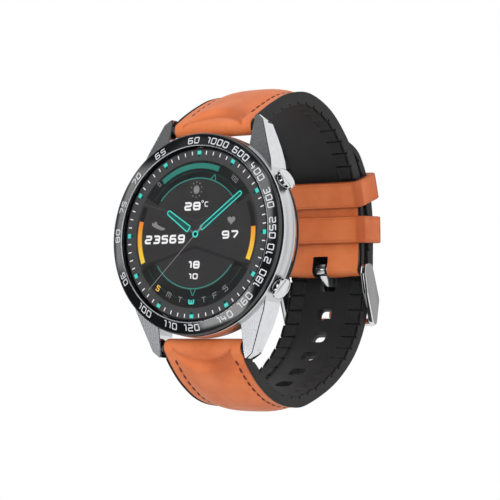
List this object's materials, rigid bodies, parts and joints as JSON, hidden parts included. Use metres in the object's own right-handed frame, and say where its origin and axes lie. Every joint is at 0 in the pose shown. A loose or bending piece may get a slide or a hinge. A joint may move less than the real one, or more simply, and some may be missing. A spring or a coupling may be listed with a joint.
{
  "type": "smartwatch",
  "caption": "Round smartwatch with a fixed numbered bezel, side push buttons and a leather-faced silicone strap, buckled into a loop by a pin buckle.",
  "frame": {"origin": "centre of the flat sensor window on the case back", "axes": "+X to 3 o'clock, +Z to 12 o'clock, +Y out of the case back towards the wrist; the dial faces -Y"},
  "size_m": [0.0464, 0.0636, 0.0739],
  "materials": {
    "steel_case": "polished chamfers and a brushed side band",
    "polished_steel": "polished",
    "plain_steel": "machined",
    "ceramic_bezel": "gloss black ceramic with light grey numerals",
    "clear_glass": "polished",
    "display": null,
    "seal_rubber": "matt",
    "circuit_board": "solder mask",
    "tinplate": "stamped",
    "copper_film": "polyimide film",
    "battery_foil": "foil",
    "led_lens": "clear resin",
    "gold_contact": "plated",
    "black_plastic": "fine matt",
    "strap_leather": "orange-tan grained leather with dark stitching",
    "strap_silicone": "matt silicone"
  },
  "bodies": {
    "case": {"case_middle": "steel_case", "bezel_ring": "ceramic_bezel", "cover_glass": "clear_glass", "glass_seal": "seal_rubber", "display_panel": "display", "inner_frame": "black_plastic", "main_board": "circuit_board", "processor_can": "tinplate", "radio_module": "black_plastic", "battery": "battery_foil", "button_flex": "copper_film", "board_screw_1": "plain_steel", "board_screw_2": "plain_steel", "board_screw_3": "plain_steel", "motor_can": "tinplate", "motor_lid": "tinplate", "motor_shaft": "plain_steel", "rear_gasket": "seal_rubber", "rear_cover": "black_plastic", "sensor_window": "clear_glass", "sensor_board": "circuit_board", "pulse_led_left": "led_lens", "pulse_led_right": "led_lens", "photodiode": "black_plastic", "charge_contact_left": "gold_contact", "charge_contact_right": "gold_contact", "rear_screw_1": "plain_steel", "rear_screw_2": "plain_steel", "rear_screw_3": "plain_steel", "rear_screw_4": "plain_steel", "upper_button_tube": "plain_steel", "upper_button_seal": "seal_rubber", "upper_button_spring": "plain_steel", "upper_button_switch": "black_plastic", "lower_button_tube": "plain_steel", "lower_button_seal": "seal_rubber", "lower_button_spring": "plain_steel", "lower_button_switch": "black_plastic", "upper_spring_bar": "plain_steel", "upper_bar_spring": "plain_steel", "lower_spring_bar": "plain_steel", "lower_bar_spring": "plain_steel"},
    "upper_button": {"upper_button_cap": "polished_steel", "upper_button_clip": "plain_steel"},
    "lower_button": {"lower_button_cap": "polished_steel", "lower_button_clip": "plain_steel"},
    "motor_rotor": {"motor_rotor": "plain_steel"},
    "upper_release": {"upper_release_pin": "plain_steel"},
    "lower_release": {"lower_release_pin": "plain_steel"},
    "upper_strap": {"upper_strap_leather": "strap_leather", "upper_strap_liner": "strap_silicone", "fixed_keeper": "strap_leather", "buckle_bar": "polished_steel"},
    "lower_strap": {"lower_strap_leather": "strap_leather", "lower_strap_liner": "strap_silicone"},
    "free_keeper": {"free_keeper": "strap_leather"},
    "buckle_frame": {"buckle_frame": "polished_steel"},
    "buckle_tang": {"buckle_tang": "polished_steel"}
  },
  "joints": [
    {"name": "upper_button_press", "type": "slide", "parent": "case", "child": "upper_button", "axis": [-0.866, 0, -0.5], "range_m": [0, 0.0005], "stiffness_N_per_m": 1200, "springref_m": -0.0006, "deforming": ["upper_button_spring"]},
    {"name": "lower_button_press", "type": "slide", "parent": "case", "child": "lower_button", "axis": [-0.866, 0, 0.5], "range_m": [0, 0.0005], "stiffness_N_per_m": 1200, "springref_m": -0.0006, "deforming": ["lower_button_spring"]},
    {"name": "motor_spin", "type": "hinge", "parent": "case", "child": "motor_rotor", "pos_m": [0, -0.0055, -0.014], "axis": [0, 1, 0], "continuous": true},
    {"name": "upper_release_slide", "type": "slide", "parent": "case", "child": "upper_release", "axis": [-1, 0, 0], "range_m": [0, 0.0015], "stiffness_N_per_m": 600, "springref_m": -0.0008, "deforming": ["upper_bar_spring"]},
    {"name": "lower_release_slide", "type": "slide", "parent": "case", "child": "lower_release", "axis": [-1, 0, 0], "range_m": [0, 0.0015], "stiffness_N_per_m": 600, "springref_m": -0.0008, "deforming": ["lower_bar_spring"]},
    {"name": "upper_strap_play", "type": "hinge", "parent": "case", "child": "upper_strap", "pos_m": [0, -0.0042, 0.0254], "axis": [1, 0, 0], "range_deg": [-0.3, 0.3]},
    {"name": "lower_strap_play", "type": "hinge", "parent": "case", "child": "lower_strap", "pos_m": [0, -0.0042, -0.0254], "axis": [1, 0, 0], "range_deg": [-0.3, 0.3]},
    {"name": "free_keeper_slide", "type": "slide", "parent": "upper_strap", "child": "free_keeper", "axis": [0, 0.3827, -0.9239], "range_m": [-0.0015, 0.0004]},
    {"name": "buckle_frame_lift", "type": "hinge", "parent": "upper_strap", "child": "buckle_frame", "pos_m": [0, 0.0449, -0.002], "axis": [1, 0, 0], "range_deg": [0, 3]},
    {"name": "buckle_tang_lift", "type": "hinge", "parent": "buckle_frame", "child": "buckle_tang", "pos_m": [0, 0.0449, -0.002], "axis": [1, 0, 0], "range_deg": [0, 3]}
  ]
}
